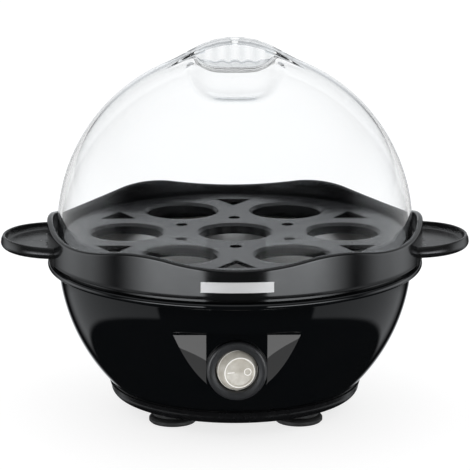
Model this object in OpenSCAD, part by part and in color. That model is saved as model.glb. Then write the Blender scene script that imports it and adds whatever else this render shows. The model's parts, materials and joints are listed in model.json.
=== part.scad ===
// Seven-egg steam cooker: a bowl-shaped base with a wavy collar and two side handles, an egg tray
// over a heated water dish, and a clear dome lid with a fluted finger grip.
// Frame: +Z up, z = 0 on the table, the vertical axis of the bowl at x = y = 0, the switch faces -Y.

/* [Bowl] */
// Radius of the collar and of the bead round the top of the bowl
rim_r = 79; // [78.5:0.1:79.5]
// Height of the bowl's top face
bowl_top = 64.2; // [64:0.1:64.4]
// Height at which the bowl ends and the bottom cover begins
bowl_foot = 12; // [11.8:0.1:12.2]
// Radius of the arc that the bowl's side follows
bowl_arc = 77.9; // [77:0.1:79]
// Height of that arc's centre
bowl_arc_z = 66.4; // [66:0.1:67]
// How far the bead stands out from the bowl
bead_out = 4.4; // [4:0.1:4.8]
// Wall thickness of the bowl
wall = 2.4; // [2.2:0.1:2.6]

/* [Switch panel] */
// Radius of the panel's rounded profile, seen from the side
panel_arc = 80; // [79:0.5:81]
// Height at which the panel runs out into the bowl's surface
panel_foot = 20; // [19.8:0.1:20.2]
// Height of the ledge over the panel
panel_ledge = 50; // [49.6:0.1:50.4]
// Height of the switch's centre
switch_z = 33.5; // [33:0.1:34]
// Radius of the switch's bezel
bezel_r = 12.2; // [12:0.1:12.3]
// Angle through which the rocker turns between off and on
rocker_turn = 24; // [16:1:24]

/* [Collar and handles] */
// Height of the wavy edge at its low points
wave_low = 78.1; // [77.5:0.1:79]
// Height of the wavy edge at its high points
wave_high = 82.1; // [81:0.1:83]
// Share of each wave taken by the narrow hump
wave_hump = 0.28; // [0.24:0.01:0.5]
// Wall thickness of the collar
collar_wall = 2.4; // [2.3:0.1:2.5]
// Height of the ledge that the lid and the egg tray stand on
ledge_top = 72.4; // [72.2:0.1:72.6]
// Distance from the axis to the tip of a handle
handle_tip = 98.7; // [97:0.1:100]
// Radius of a handle's outline
handle_r = 25; // [24:0.1:26]
// Height of a handle's underside
handle_foot = 68.9; // [68.8:0.1:69.2]
// Thickness of a handle's rounded rim
handle_rim = 5.4; // [5:0.1:6]

/* [Lid] */
// Outer radius of the dome
dome_r = 74.7; // [74.5:0.1:75]
// Height of the dome's centre
dome_z = 77.7; // [77:0.1:78.5]
// Wall thickness of the lid
lid_wall = 1.6; // [1.4:0.1:1.6]
// Height of the grip's crest
grip_top = 157.4; // [157:0.1:158]
// Radius of the grip's arched crest, seen from the front
grip_arc = 33.2; // [32:0.1:35]
// Half the thickness of the grip
grip_half = 6; // [5.8:0.1:6.4]
// Number of flutes down each side of the grip
flutes = 7; // [5:2:7]

/* [Egg tray] */
// Outer radius of the tray
tray_r = 72; // [71.8:0.1:72.2]
// Height of the tray's top face
tray_top = 75; // [74.8:0.1:75.2]
// Radius of the circle that the six outer eggs stand on
seat_ring = 45.5; // [45:0.1:46]
// Radius of an egg seat
seat_r = 15; // [14.5:0.1:15.5]

/* [Feet] */
// Distance of each foot from the two centre planes
foot_at = 26.3; // [25.5:0.1:27]
// Radius of a suction foot
foot_r = 10; // [9:0.1:10.5]

/* [Hidden] */
$fn = 96;

// Bowl
bowl_arc_x = rim_r - bead_out - bowl_arc;
bead_r = 1.4;
flange_t = 2 * bead_r;
flange_hole_r = 65.8;
floor_t = 1.4;
floor_hole_r = 40;
switch_seat_y = -66.6;
switch_boss_back = -57;
switch_bore_r = 10.05;
gland_z = 36;
gland_seat_y = 71;
gland_boss_back = 61.8;
gland_boss_r = 8.5;

// Fixings: the long clamp screws stand at 45 degrees, the cover's screws between them
clamp_ring = 46;
clamp_angles = [45, 135, 225, 315];
column_r = 4.5;
column_top = 37.5;
cover_screw_ring = 45.5;
cover_screw_angles = [30, 150, 270];
pilot_r = 1.3;
clearance_r = 1.7;
shank_r = 1.28;
screw_head_r = 2.9;
screw_head_h = 1.6;

// Bottom cover
cover_foot = 6;
cover_floor = 8.2;
cover_top = 11.4;
cover_round = 3.5;
cover_side_r = 52.7;
cover_top_r = 53.3;
neck_r = 3.2;

// Collar
collar_foot = 65.8;
ledge_t = 1.8;
ledge_in_r = 67;
skirt_t = 2;
seal_top = 66.2;
notch_half = 18;
notch_top = 70.4;
hook_r = 69.6;
hook_t = 1.6;
hook_w = 8;
hook_low = bowl_top - flange_t - 2;
foot_t = 1.6;
badge_half = 10.7;
badge_t = 0.7;
badge_low = 68.8;
badge_high = 73.2;
handle_x = handle_tip - handle_r;
handle_floor_t = 2.3;
lug_y = 8;
lug_r = 71.9;
lug_foot = 66;
lug_top = 68.3;

// Heating
plate_t = 1;
plate_low = 53;
plate_flat_r = 52;
plate_lip_r = 68.6;
spreader_r = 38;
spreader_low = 50;
element_ring = 29;
element_r = 3.2;
element_z = spreader_low - element_r;
element_gap = 60;
fuse_low = spreader_low - 2.2;
standoff_low = 38;

// Angles of the wave's humps, of the egg seats under them and of the dips between
hump_angles = [for (k = [0:5]) 60 * k];
dip_angles = [for (k = [0:5]) 60 * k + 30];

// The wave: hump and dip cylinders cross at a knee, at this half width and height from the hump's middle
hump_x = rim_r * sin(30 * wave_hump);
knee_z = wave_high - 0.8 * wave_hump * (wave_high - wave_low);
hump_r = (pow(hump_x, 2) + pow(wave_high - knee_z, 2)) / (2 * (wave_high - knee_z));
dip_x = rim_r * sin(30 - 30 * wave_hump);
dip_r = (pow(dip_x, 2) + pow(knee_z - wave_low, 2)) / (2 * (knee_z - wave_low));

// Axis of the panel's arc, which meets the bowl at the panel's foot
panel_arc_z = 56;
panel_arc_y = sqrt(pow(panel_arc, 2) - pow(panel_arc_z - panel_foot, 2)) - bowl_r(panel_foot);

// Switch, in a frame whose +Z points out of the panel and whose origin lies on the bezel's seat
switch_cavity_r = 8.75;
switch_cavity_back = -10;
switch_back = -14;
rocker_pivot = -1.5;
rocker_r = 8.3;
rocker_face_r = 6.3;
rocker_face = 5.4;
pin_r = 0.9;
blade_x = [-5.5, 0, 5.5];
blade_w = 4.8;
blade_t = 0.8;
blade_end = -22;

// Scoops in the lid, each a ball pressed into the dome in front of the grip or behind it
scoop_r = 45;
scoop_y = 28.3;
scoop_z = 184.3;
flute_r = 3.6;
flute_depth = 0.9;
flute_pitch = 5.6;

// Terminal block
block_z = floor_t + bowl_foot;
block_front = 40.5;
block_back = 48.5;
block_h = 10;
pole_x = [-8, 0, 8];

// Wires inside: thickness, facets, places between two points, and the routes by hand
wire_r = 1.1;
wire_sides = 8;
wire_steps = 6;
block_to_switch_route = [
    [-8, 40.3, 17.9], [-10, 30, 18], [-26, 10, 22], [-28, -12, 26], [-14, -36, 32],
    [-6, -40.5, 33.5], [-5.5, -44.3, 33.5]
];
switch_to_thermostat_route = [
    [0, -44.4, 33.5], [0, -38, 33.5], [1, -28, 36], [0, -20, 42.6], [0, -15.2, 43.4]
];
thermostat_to_element_route = [
    [0, 15.2, 43.4], [0, 19, 42], [4, 24, 30], [11, 25, 22], [14.4, 25.1, 24],
    [14.5, 25.1, 27.6]
];
element_to_fuse_route = [
    [-14.5, 25.1, 27.6], [-14.8, 24.8, 24], [-19, 10, 31], [-19, -6, 38],
    [-17.9, -14, 43], [-16.1, -18, 47.8]
];
fuse_to_block_route = [
    [16.1, -18, 47.8], [17.9, -14, 43], [20, 0, 35], [20, 20, 22], [10, 34, 18.4],
    [8, 40.3, 18.9]
];
lamp_return_route = [
    [5.5, -44.3, 33.5], [6, -40.5, 33.5], [13, -36, 31], [26, -16, 22], [28, 8, 16],
    [18, 28, 14], [9, 36, 15.6], [8, 40.3, 16.4]
];
earth_route = [
    [0, 40.3, 17.9], [1, 36, 18.5], [11, 35.5, 24], [22, 33.5, 33], [28.4, 29.6, 41]
];

// Radius of the bowl's outer surface at height z
function bowl_r(z) = bowl_arc_x + sqrt(pow(bowl_arc, 2) - pow(z - bowl_arc_z, 2));
// Height of a scoop's floor where it meets the grip, x from the middle
function scoop_floor(x) = scoop_z - sqrt(pow(scoop_r, 2) - x * x - pow(scoop_y - grip_half, 2));

// A flat ring from r_in to r_out and z0 to z1, over part of the circle if sweep is less than 360
module ring(r_in, r_out, z0, z1, start = 0, sweep = 360) {
    rotate([0, 0, start]) rotate_extrude(angle = sweep) translate([r_in, z0])
        square([r_out - r_in, z1 - z0]);
}

// Copies of the children on a circle
module around(r, angles, z = 0) {
    for (a = angles) rotate([0, 0, a]) translate([r, 0, z]) children();
}

// A pan-head screw that points up, its head's underside at z = 0
module screw(len, r = shank_r, head_r = screw_head_r, head_h = screw_head_h) {
    difference() {
        union() {
            cylinder(r = head_r, h = head_h);
            cylinder(r = r, h = head_h + len);
        }
        for (a = [0, 90]) rotate([0, 0, a]) translate([-head_r * 0.6, -0.35, -0.01])
            cube([head_r * 1.2, 0.7, head_h * 0.6]);
    }
}

// The bowl's shape, filled in, its side moved inwards by inset
module bowl_solid(inset, z0, z1) {
    rotate_extrude() intersection() {
        translate([bowl_arc_x, bowl_arc_z]) circle(bowl_arc - inset, $fn = 240);
        translate([0, z0]) square([rim_r, z1 - z0]);
    }
}

// Everything in front of the switch panel and under its ledge, the panel moved inwards by depth
module ahead_of_panel(depth) {
    difference() {
        translate([-45, -rim_r - 5, 0]) cube([90, 50, panel_ledge + depth]);
        translate([0, panel_arc_y, panel_arc_z]) rotate([0, 90, 0])
            cylinder(r = panel_arc - depth, h = 100, center = true, $fn = 240);
    }
}

module bowl_shell() {
    difference() {
        union() {
            difference() {
                bowl_solid(0, bowl_foot, bowl_top - bead_r);
                ahead_of_panel(0);
            }
            rotate_extrude() {
                translate([flange_hole_r, bowl_top - flange_t])
                    square([rim_r - bead_r - flange_hole_r, flange_t]);
                translate([rim_r - bead_r, bowl_top - bead_r]) circle(bead_r);
            }
        }
        difference() {
            bowl_solid(wall, bowl_foot + floor_t, bowl_top - flange_t);
            ahead_of_panel(wall);
        }
        translate([0, 0, bowl_foot - 1]) cylinder(r = floor_hole_r, h = floor_t + 2);
        translate([0, 0, bowl_top - flange_t - 1]) cylinder(r = flange_hole_r, h = flange_t + 2);
    }
}

module base_housing() {
    color("#101012") difference() {
        union() {
            bowl_shell();
            // round boss that holds the switch upright on the leaning panel
            translate([0, switch_boss_back, switch_z]) rotate([90, 0, 0])
                cylinder(r = bezel_r + 0.2, h = switch_boss_back - switch_seat_y);
            // boss for the cord gland in the rear wall
            translate([0, gland_boss_back, gland_z]) rotate([-90, 0, 0])
                cylinder(r = gland_boss_r, h = gland_seat_y - gland_boss_back);
            around(clamp_ring, clamp_angles, bowl_foot)
                cylinder(r = column_r, h = column_top - bowl_foot);
            around(cover_screw_ring, cover_screw_angles, bowl_foot) cylinder(r = 3.7, h = 8);
        }
        translate([0, 0, switch_z]) rotate([90, 0, 0]) cylinder(r = switch_bore_r, h = rim_r);
        // the bezel is let into the panel at its top
        translate([0, switch_seat_y, switch_z]) rotate([90, 0, 0])
            cylinder(r = bezel_r + 0.5, h = 10);
        translate([0, 50, gland_z]) rotate([-90, 0, 0]) cylinder(r = 5.1, h = 30);
        around(clamp_ring, clamp_angles, bowl_foot - 1) cylinder(r = 2.2, h = column_top);
        around(cover_screw_ring, cover_screw_angles, bowl_foot - 1) cylinder(r = pilot_r, h = 7);
        // slots that the collar's hooks pass through
        around(hook_r - 0.3, clamp_angles, bowl_top - flange_t - 1) translate([0, -hook_w / 2 - 0.3, 0])
            cube([hook_t + 0.6, hook_w + 0.6, flange_t + 2]);
    }
}

module bottom_cover() {
    color("#161617") difference() {
        union() {
            difference() {
                rotate_extrude() {
                    translate([0, cover_foot])
                        square([cover_side_r - cover_round, cover_top - cover_foot]);
                    translate([cover_side_r - cover_round, cover_foot + cover_round])
                        circle(cover_round);
                    polygon([
                        [0, cover_foot + cover_round],
                        [cover_side_r, cover_foot + cover_round],
                        [cover_top_r, cover_top],
                        [0, cover_top]
                    ]);
                }
                translate([0, 0, cover_floor]) cylinder(r = cover_side_r - wall, h = 10);
            }
            around(cover_screw_ring, cover_screw_angles, cover_foot + 1)
                cylinder(r = 4.5, h = bowl_foot - cover_foot - 1);
        }
        // the circle of the rounded edge stands above the cover's top
        translate([0, 0, bowl_foot]) cylinder(r = rim_r, h = 20);
        around(cover_screw_ring, cover_screw_angles, 0) cylinder(r = 3.3, h = 9);
        around(cover_screw_ring, cover_screw_angles, 0) cylinder(r = clearance_r, h = 20);
        for (x = [-foot_at, foot_at], y = [-foot_at, foot_at]) translate([x, y, 0])
            cylinder(r = neck_r + 0.1, h = 20);
        // drain and vent slots
        for (k = [-2:2]) translate([-14, 6 * k - 1, 0]) cube([28, 2, 20]);
    }
}

module bottom_screws() {
    color("silver") around(cover_screw_ring, cover_screw_angles, 9 - screw_head_h) screw(8);
}

// A suction foot: a thick flared cup with a neck and a head that snaps through the cover
module foot() {
    color("#1a1a1a") rotate_extrude() {
        polygon([
            [0, 1.8], [5.5, 1.2], [foot_r - 1.6, 0], [foot_r - 0.6, 0], [foot_r, 0.6], [foot_r, 1.8],
            [foot_r - 0.6, 2.5], [foot_r - 1.6, 3.1], [foot_r - 2.2, cover_foot], [0, cover_foot]
        ]);
        translate([0, cover_foot - 0.5]) square([neck_r, cover_floor - cover_foot + 1]);
        polygon([
            [0, cover_floor], [4.6, cover_floor], [4.6, cover_floor + 0.8], [2.6, cover_floor + 2.4],
            [0, cover_floor + 2.4]
        ]);
    }
}

module foot_front_left() {
    translate([-foot_at, -foot_at, 0]) foot();
}

module foot_front_right() {
    translate([foot_at, -foot_at, 0]) foot();
}

module foot_rear_left() {
    translate([-foot_at, foot_at, 0]) foot();
}

module foot_rear_right() {
    translate([foot_at, foot_at, 0]) foot();
}

// What stands above the collar's wavy edge: a wide cylinder over each dip and the corners over each hump
module over_the_wave() {
    for (a = dip_angles) rotate([0, 0, a]) translate([rim_r / 2, 0, wave_low + dip_r]) rotate([0, 90, 0])
        cylinder(r = dip_r, h = rim_r);
    for (a = hump_angles) rotate([0, 0, a]) difference() {
        translate([rim_r / 2 + 1, -hump_x - 2.2, knee_z - 1.5]) cube([rim_r - 2, 2 * hump_x + 4.4, 9]);
        translate([rim_r / 2, 0, wave_high - hump_r]) rotate([0, 90, 0]) cylinder(r = hump_r, h = rim_r);
    }
}

// The collar's section turned round the axis: wall, ledge for the tray, skirt over the seal, outer foot
module collar_turned() {
    in_r = rim_r - collar_wall;
    foot_in_r = in_r - foot_t;
    skirt_r = ledge_in_r + skirt_t;
    ledge_low = ledge_top - ledge_t;
    rotate_extrude() polygon([
        [rim_r, collar_foot], [rim_r, wave_high + 1], [in_r, wave_high + 1], [in_r, ledge_top],
        [ledge_in_r, ledge_top], [ledge_in_r, seal_top], [skirt_r, seal_top], [skirt_r, ledge_low],
        [foot_in_r, ledge_low], [foot_in_r, bowl_top], [in_r, bowl_top], [in_r, collar_foot]
    ]);
}

// A piece of ring where a handle's root goes, its ends drawn in by gap degrees
module root_sector(r_in, r_out, z0, z1, gap) {
    ring(r_in, r_out, z0, z1, gap - notch_half, 2 * (notch_half - gap));
}

module collar_ring() {
    color("#1b1b1d") difference() {
        union() {
            collar_turned();
            // snap hooks that catch under the bowl's flange
            around(hook_r, clamp_angles) {
                translate([0, -hook_w / 2, hook_low]) cube([hook_t, hook_w, ledge_top - 1 - hook_low]);
                translate([-1.4, -hook_w / 2, hook_low]) cube([2, hook_w, 1.8]);
            }
            // posts that take the handles' screws
            for (a = [0, 180], y = [-lug_y, lug_y]) rotate([0, 0, a])
                translate([lug_r, y, lug_top + 0.1]) cylinder(r = 3.2, h = ledge_top - lug_top - 0.6);
        }
        over_the_wave();
        for (a = [0, 180]) rotate([0, 0, a]) {
            root_sector(rim_r - collar_wall - foot_t - 0.2, rim_r + 1, bowl_top - 1, notch_top, 0);
            for (y = [-lug_y, lug_y]) translate([lug_r, y, lug_top - 1])
                cylinder(r = pilot_r, h = ledge_top - lug_top + 0.3);
        }
        // pocket for the plate on the front
        ring(rim_r - badge_t, rim_r + 1, badge_low, badge_high, -90 - badge_half, 2 * badge_half);
    }
}

module badge_plate() {
    gap = 0.05;
    half = badge_half - gap;
    color("silver")
        ring(rim_r - badge_t, rim_r, badge_low + gap, badge_high - gap, -90 - half, 2 * half);
}

// The right handle: a dished half oval, a root that fills the collar's notch, and two screw lugs
module handle() {
    rim_mid = handle_r - handle_rim / 2;
    in_r = rim_r - collar_wall;
    difference() {
        union() {
            translate([handle_x, 0, 0]) rotate_extrude() {
                translate([rim_mid, handle_foot + handle_rim / 2]) circle(handle_rim / 2);
                translate([rim_mid - 1.7, handle_foot]) square([1.7, handle_rim]);
                translate([0, handle_foot]) square([rim_mid, handle_floor_t]);
            }
        }
        cylinder(r = rim_r - 0.6, h = 100);
        translate([0, 0, notch_top - 0.1]) cylinder(r = rim_r, h = 100);
    }
    root_sector(in_r + 0.2, rim_r, collar_foot, notch_top - 0.1, 0.1);
    root_sector(in_r - 1, in_r + 0.4, bowl_top, notch_top - 0.1, 0.1);
    for (y = [-lug_y, lug_y]) difference() {
        translate([69.3, y - 3.6, lug_foot]) cube([8.2, 7.2, lug_top - lug_foot]);
        translate([lug_r, y, lug_foot - 1]) cylinder(r = clearance_r, h = 10);
    }
}

module handle_left() {
    color("#141415") rotate([0, 0, 180]) handle();
}

module handle_right() {
    color("#141415") handle();
}

module handle_screws() {
    color("silver") for (a = [0, 180], y = [-lug_y, lug_y]) rotate([0, 0, a])
        translate([lug_r, y, lug_foot - screw_head_h]) screw(5.2);
}

module heating_plate() {
    color("#8d9094") rotate_extrude() polygon([
        [0, plate_low], [plate_flat_r, plate_low], [63.4, bowl_top], [plate_lip_r, bowl_top],
        [plate_lip_r, bowl_top + plate_t], [62.8, bowl_top + plate_t],
        [plate_flat_r - 0.5, plate_low + plate_t], [0, plate_low + plate_t]
    ]);
}

module plate_seal() {
    color("#b8b4ac") ring(66.4, 68.5, bowl_top + plate_t, seal_top);
}

module heat_spreader() {
    color("#c4c6c8") difference() {
        translate([0, 0, spreader_low]) cylinder(r = spreader_r, h = plate_low - spreader_low);
        for (x = [-14.5, 14.5]) translate([x, 0, spreader_low - 1]) cylinder(r = pilot_r, h = 3.4);
    }
}

// A sheathed ring with a gap at the back, its two ends turned down and tipped with pins
module heating_element() {
    start = 90 + element_gap / 2;
    color("#8a8b8d") union() {
        rotate([0, 0, start]) rotate_extrude(angle = 360 - element_gap)
            translate([element_ring, element_z]) circle(element_r);
        around(element_ring, [start, start - element_gap], element_z) {
            sphere(element_r);
            translate([0, 0, -9]) cylinder(r = element_r, h = 9);
            translate([0, 0, -19]) cylinder(r = 1.5, h = 12);
        }
    }
}

module element_sleeves() {
    ends = [90 - element_gap / 2, 90 + element_gap / 2];
    color("#e8e4da") around(element_ring, ends, element_z - 14) difference() {
        cylinder(r = 4, h = 5);
        translate([0, 0, -1]) cylinder(r = 1.55, h = 7);
    }
}

module plate_standoffs() {
    color("#b9bbbd") around(clamp_ring, clamp_angles, standoff_low) difference() {
        cylinder(r = 4, h = plate_low - standoff_low, $fn = 6);
        translate([0, 0, -1]) cylinder(r = 2, h = 10);
    }
}

module clamp_screws() {
    color("silver") around(clamp_ring, clamp_angles, bowl_foot - 2.2) screw(34, 1.96, 3.7, 2.2);
}

module thermostat() {
    color("#2a2320") union() {
        translate([0, 0, 42]) cylinder(r = 8, h = 5);
        translate([0, 0, 46]) cylinder(r = 6.4, h = 4);
        for (s = [-1, 1]) translate([-2.4, s > 0 ? 7 : -15, 43]) cube([4.8, 8, 0.8]);
    }
}

module thermostat_bracket() {
    color("#c0c2c4") difference() {
        union() {
            translate([-11, -4, 41]) cube([22, 8, 1]);
            for (s = [-1, 1]) {
                translate([s > 0 ? 10 : -11, -4, 41]) cube([1, 8, 9]);
                translate([s > 0 ? 10 : -18, -4, 49]) cube([8, 8, 1]);
            }
        }
        for (x = [-14.5, 14.5]) translate([x, 0, 40]) cylinder(r = clearance_r, h = 20);
    }
}

module bracket_screws() {
    color("silver") for (x = [-14.5, 14.5]) translate([x, 0, 49 - screw_head_h]) screw(3);
}

module thermal_fuse() {
    color("#e6e2d4") translate([0, -18, fuse_low]) rotate([0, 90, 0]) union() {
        cylinder(r = 2.2, h = 14, center = true);
        cylinder(r = 0.5, h = 30, center = true);
    }
}

module fuse_clip() {
    color("#c0c2c4") translate([0, -18, 0]) difference() {
        union() {
            translate([0, 0, fuse_low]) rotate([0, 90, 0]) cylinder(r = 3.1, h = 6, center = true);
            translate([-3, -3.1, fuse_low]) cube([6, 6.2, 2.2]);
            translate([-3, -8, spreader_low - 0.8]) cube([6, 16, 0.8]);
        }
        translate([0, 0, fuse_low]) rotate([0, 90, 0]) cylinder(r = 2.25, h = 10, center = true);
        translate([-5, -2.25, fuse_low]) cube([10, 4.5, 5]);
        translate([-5, -10, spreader_low]) cube([10, 20, 5]);
    }
}

// Puts the switch's own frame on the panel's boss
module at_switch() {
    translate([0, switch_seat_y, switch_z]) rotate([90, 0, 0]) children();
}

module switch_body() {
    color("#2c2c2e") at_switch() difference() {
        union() {
            translate([0, 0, switch_back]) cylinder(r = 9.9, h = 0.5 - switch_back);
            rotate_extrude() {
                square([bezel_r - 1.1, 2.2]);
                translate([bezel_r - 1.1, 1.1]) circle(1.1);
            }
            // spring ears that hold the body behind the boss
            for (s = [-1, 1]) translate([s > 0 ? 9 : -11, -2.5, -12.4]) cube([2, 5, 2.6]);
        }
        translate([0, 0, switch_cavity_back]) cylinder(r = switch_cavity_r, h = 20);
        translate([0, 0, rocker_pivot]) rotate([90, 0, 0])
            cylinder(r = pin_r + 0.05, h = 18.8, center = true);
        for (x = blade_x) translate([x - blade_t / 2 - 0.05, -blade_w / 2 - 0.05, switch_back - 1])
            cube([blade_t + 0.1, blade_w + 0.1, 3.1]);
    }
}

// The rocker in its own frame, its pivot at the origin
module rocker() {
    difference() {
        union() {
            translate([0, 0, rocker_pivot]) cylinder(r = rocker_r, h = 1.5 - rocker_pivot);
            translate([0, 0, 1.5]) cylinder(r1 = rocker_r, r2 = rocker_face_r, h = rocker_face - 1.5);
            translate([0, 0, -5]) cylinder(r = 2, h = 4);
            rotate([90, 0, 0]) cylinder(r = pin_r, h = 18.6, center = true);
        }
        // the face is slightly hollow from side to side
        translate([0, 0, rocker_face + 29.4]) rotate([90, 0, 0])
            cylinder(r = 30, h = 30, center = true, $fn = 360);
    }
}

module switch_rocker() {
    color("#d8d8d2") at_switch()
        translate([0, 0, rocker_pivot]) rotate([0, rocker_turn / 2, 0]) rocker();
}

module switch_terminals() {
    color("#c9a24a") at_switch() for (x = blade_x) translate([x - blade_t / 2, -blade_w / 2, blade_end])
        cube([blade_t, blade_w, switch_back + 2 - blade_end]);
}

module switch_lamp() {
    color("#e2a13c") at_switch() translate([5, 0, switch_cavity_back + 1.9]) rotate([90, 0, 0]) union() {
        cylinder(r = 1.9, h = 7, center = true);
        for (s = [-1, 1]) translate([0, 0, 3.5 * s]) sphere(1.9);
    }
}

module terminal_block() {
    color("#e9e6dc") difference() {
        translate([-13, block_front, block_z]) cube([26, block_back - block_front, block_h]);
        for (x = pole_x) {
            translate([x, block_front - 1, block_z + 4.5]) rotate([-90, 0, 0]) cylinder(r = 1.8, h = 20);
            translate([x, (block_front + block_back) / 2, block_z + 4.5]) cylinder(r = 1.5, h = 20);
        }
    }
}

module terminal_screws() {
    color("silver") for (x = pole_x) translate([x, (block_front + block_back) / 2, block_z + 6.4])
        cylinder(r = 1.45, h = 3);
}

module cord_gland() {
    color("#18181a") translate([0, gland_seat_y, gland_z]) rotate([-90, 0, 0]) difference() {
        union() {
            cylinder(r = 7, h = 2);
            translate([0, 0, 2]) cylinder(r1 = 5.8, r2 = 5, h = 3);
            translate([0, 0, -13]) cylinder(r = 5, h = 14);
        }
        translate([0, 0, -14]) cylinder(r = 3.4, h = 20);
    }
}

module gland_nut() {
    color("#222224") translate([0, gland_boss_back - 4, gland_z]) rotate([-90, 0, 0]) difference() {
        cylinder(r = 8, h = 4, $fn = 6);
        translate([0, 0, -1]) cylinder(r = 5.05, h = 6);
    }
}

// Internal wires: round tubes swept along a smooth curve through each route's points
// Point on the smooth curve between p1 and p2, with p0 and p3 its neighbours
function blend_points(p0, p1, p2, p3, t) =
    0.5 * (2 * p1 + (p2 - p0) * t + (2 * p0 - 5 * p1 + 4 * p2 - p3) * t * t
    + (3 * p1 - p0 - 3 * p2 + p3) * t * t * t);
// The curve through all the points, with steps places to each stretch
function smooth_route(p, steps) = [
    for (i = [0:len(p) - 2], k = [0:steps - 1])
        blend_points(p[max(i - 1, 0)], p[i], p[i + 1], p[min(i + 2, len(p) - 1)], k / steps),
    p[len(p) - 1]
];
function unit(v) = v / norm(v);
// Direction of a route at point i
function heading(p, i) = unit(p[min(i + 1, len(p) - 1)] - p[max(i - 1, 0)]);
// A side direction square to d, carried on from the one before so that the tube doesn't twist
function carried(d, side) = unit(side - d * (side * d));
function side_list(p, i, side) = i == len(p) ? [] :
    let (s = carried(heading(p, i), side)) concat([s], side_list(p, i + 1, s));

module wire(points, tint) {
    route = smooth_route(points, wire_steps);
    sides = side_list(route, 0, [0.31, 0.23, 0.92]);
    n = len(route);
    rings = [
        for (i = [0:n - 1], k = [0:wire_sides - 1])
            let (a = 360 * k / wire_sides, d = heading(route, i), s = sides[i])
            route[i] + wire_r * (cos(a) * s + sin(a) * cross(d, s))
    ];
    body = [
        for (i = [0:n - 2], k = [0:wire_sides - 1])
            let (a = i * wire_sides, b = a + wire_sides, k2 = (k + 1) % wire_sides)
            [a + k, b + k, b + k2, a + k2]
    ];
    caps = [
        [for (k = [0:wire_sides - 1]) k],
        [for (k = [wire_sides - 1:-1:0]) (n - 1) * wire_sides + k]
    ];
    color(tint) polyhedron(rings, concat(body, caps), convexity = 8);
}

module wire_block_to_switch() {
    wire(block_to_switch_route, "#6b3d22");
}

module wire_switch_to_thermostat() {
    wire(switch_to_thermostat_route, "#6b3d22");
}

module wire_thermostat_to_element() {
    wire(thermostat_to_element_route, "#7a7a78");
}

module wire_element_to_fuse() {
    wire(element_to_fuse_route, "#7a7a78");
}

module wire_fuse_to_block() {
    wire(fuse_to_block_route, "#2f4f8a");
}

module wire_lamp_return() {
    wire(lamp_return_route, "#2f4f8a");
}

module wire_earth() {
    wire(earth_route, "#4f8a3a");
}

// The lid's outside, or with inset the shape of its inside
module lid_shape(inset) {
    half = grip_half - inset;
    difference() {
        union() {
            translate([0, 0, ledge_top - inset])
                cylinder(r = dome_r - inset, h = dome_z - ledge_top + inset);
            translate([0, 0, dome_z]) difference() {
                sphere(dome_r - inset, $fn = 240);
                translate([0, 0, -dome_r]) cube(2 * dome_r, center = true);
            }
            intersection() {
                translate([0, 0, grip_top - grip_arc]) rotate([90, 0, 0])
                    cylinder(r = grip_arc - inset, h = 2 * half, center = true, $fn = 240);
                translate([0, 0, grip_top]) cube([60, 20, 40], center = true);
            }
        }
        for (s = [-1, 1]) intersection() {
            translate([0, s * scoop_y, scoop_z]) sphere(scoop_r + inset, $fn = 240);
            translate([-40, s > 0 ? half : -60 - half, 100]) cube([80, 60, 80]);
        }
    }
}

module lid_dome() {
    color([0.85, 0.88, 0.9, 0.35]) difference() {
        lid_shape(0);
        lid_shape(lid_wall);
        translate([0, 0, grip_top - 6]) cylinder(r = 2, h = 10);
        for (s = [-1, 1], k = [0:flutes - 1]) {
            x = (k - (flutes - 1) / 2) * flute_pitch;
            translate([x, s * (grip_half + flute_r - flute_depth), scoop_floor(x) + 0.6])
                cylinder(r = flute_r, h = 20);
        }
    }
}

module egg_tray() {
    seats = concat([[0, 0]], [for (a = hump_angles) seat_ring * [cos(a), sin(a)]]);
    color("#232326") difference() {
        union() {
            translate([0, 0, tray_top - 1.6]) cylinder(r = tray_r, h = 1.6);
            ring(tray_r - 1.6, tray_r, ledge_top, tray_top - 0.5);
            for (p = seats) translate([p[0], p[1], tray_top - 4.5]) cylinder(r = seat_r + 1.4, h = 4);
        }
        for (p = seats) translate([p[0], p[1], 0]) {
            cylinder(r = seat_r, h = 100);
            translate([0, 0, tray_top - 1.2]) cylinder(r1 = seat_r, r2 = seat_r + 1.25, h = 1.25);
        }
        // steam holes: one wide wedge between two outer seats, one round hole nearer the middle
        around(0, dip_angles, 60) {
            linear_extrude(30) polygon([[49, 0], [62, 8], [62, -8]]);
            translate([26, 0, 0]) cylinder(r = 2.5, h = 30);
        }
    }
}

base_housing();
bottom_cover();
bottom_screws();
foot_front_left();
foot_front_right();
foot_rear_left();
foot_rear_right();
collar_ring();
badge_plate();
handle_left();
handle_right();
handle_screws();
heating_plate();
plate_seal();
heat_spreader();
heating_element();
element_sleeves();
plate_standoffs();
clamp_screws();
thermostat();
thermostat_bracket();
bracket_screws();
thermal_fuse();
fuse_clip();
switch_body();
switch_rocker();
switch_terminals();
switch_lamp();
terminal_block();
terminal_screws();
cord_gland();
gland_nut();
wire_block_to_switch();
wire_switch_to_thermostat();
wire_thermostat_to_element();
wire_element_to_fuse();
wire_fuse_to_block();
wire_lamp_return();
wire_earth();
lid_dome();
egg_tray();
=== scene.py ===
import json
import math

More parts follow.
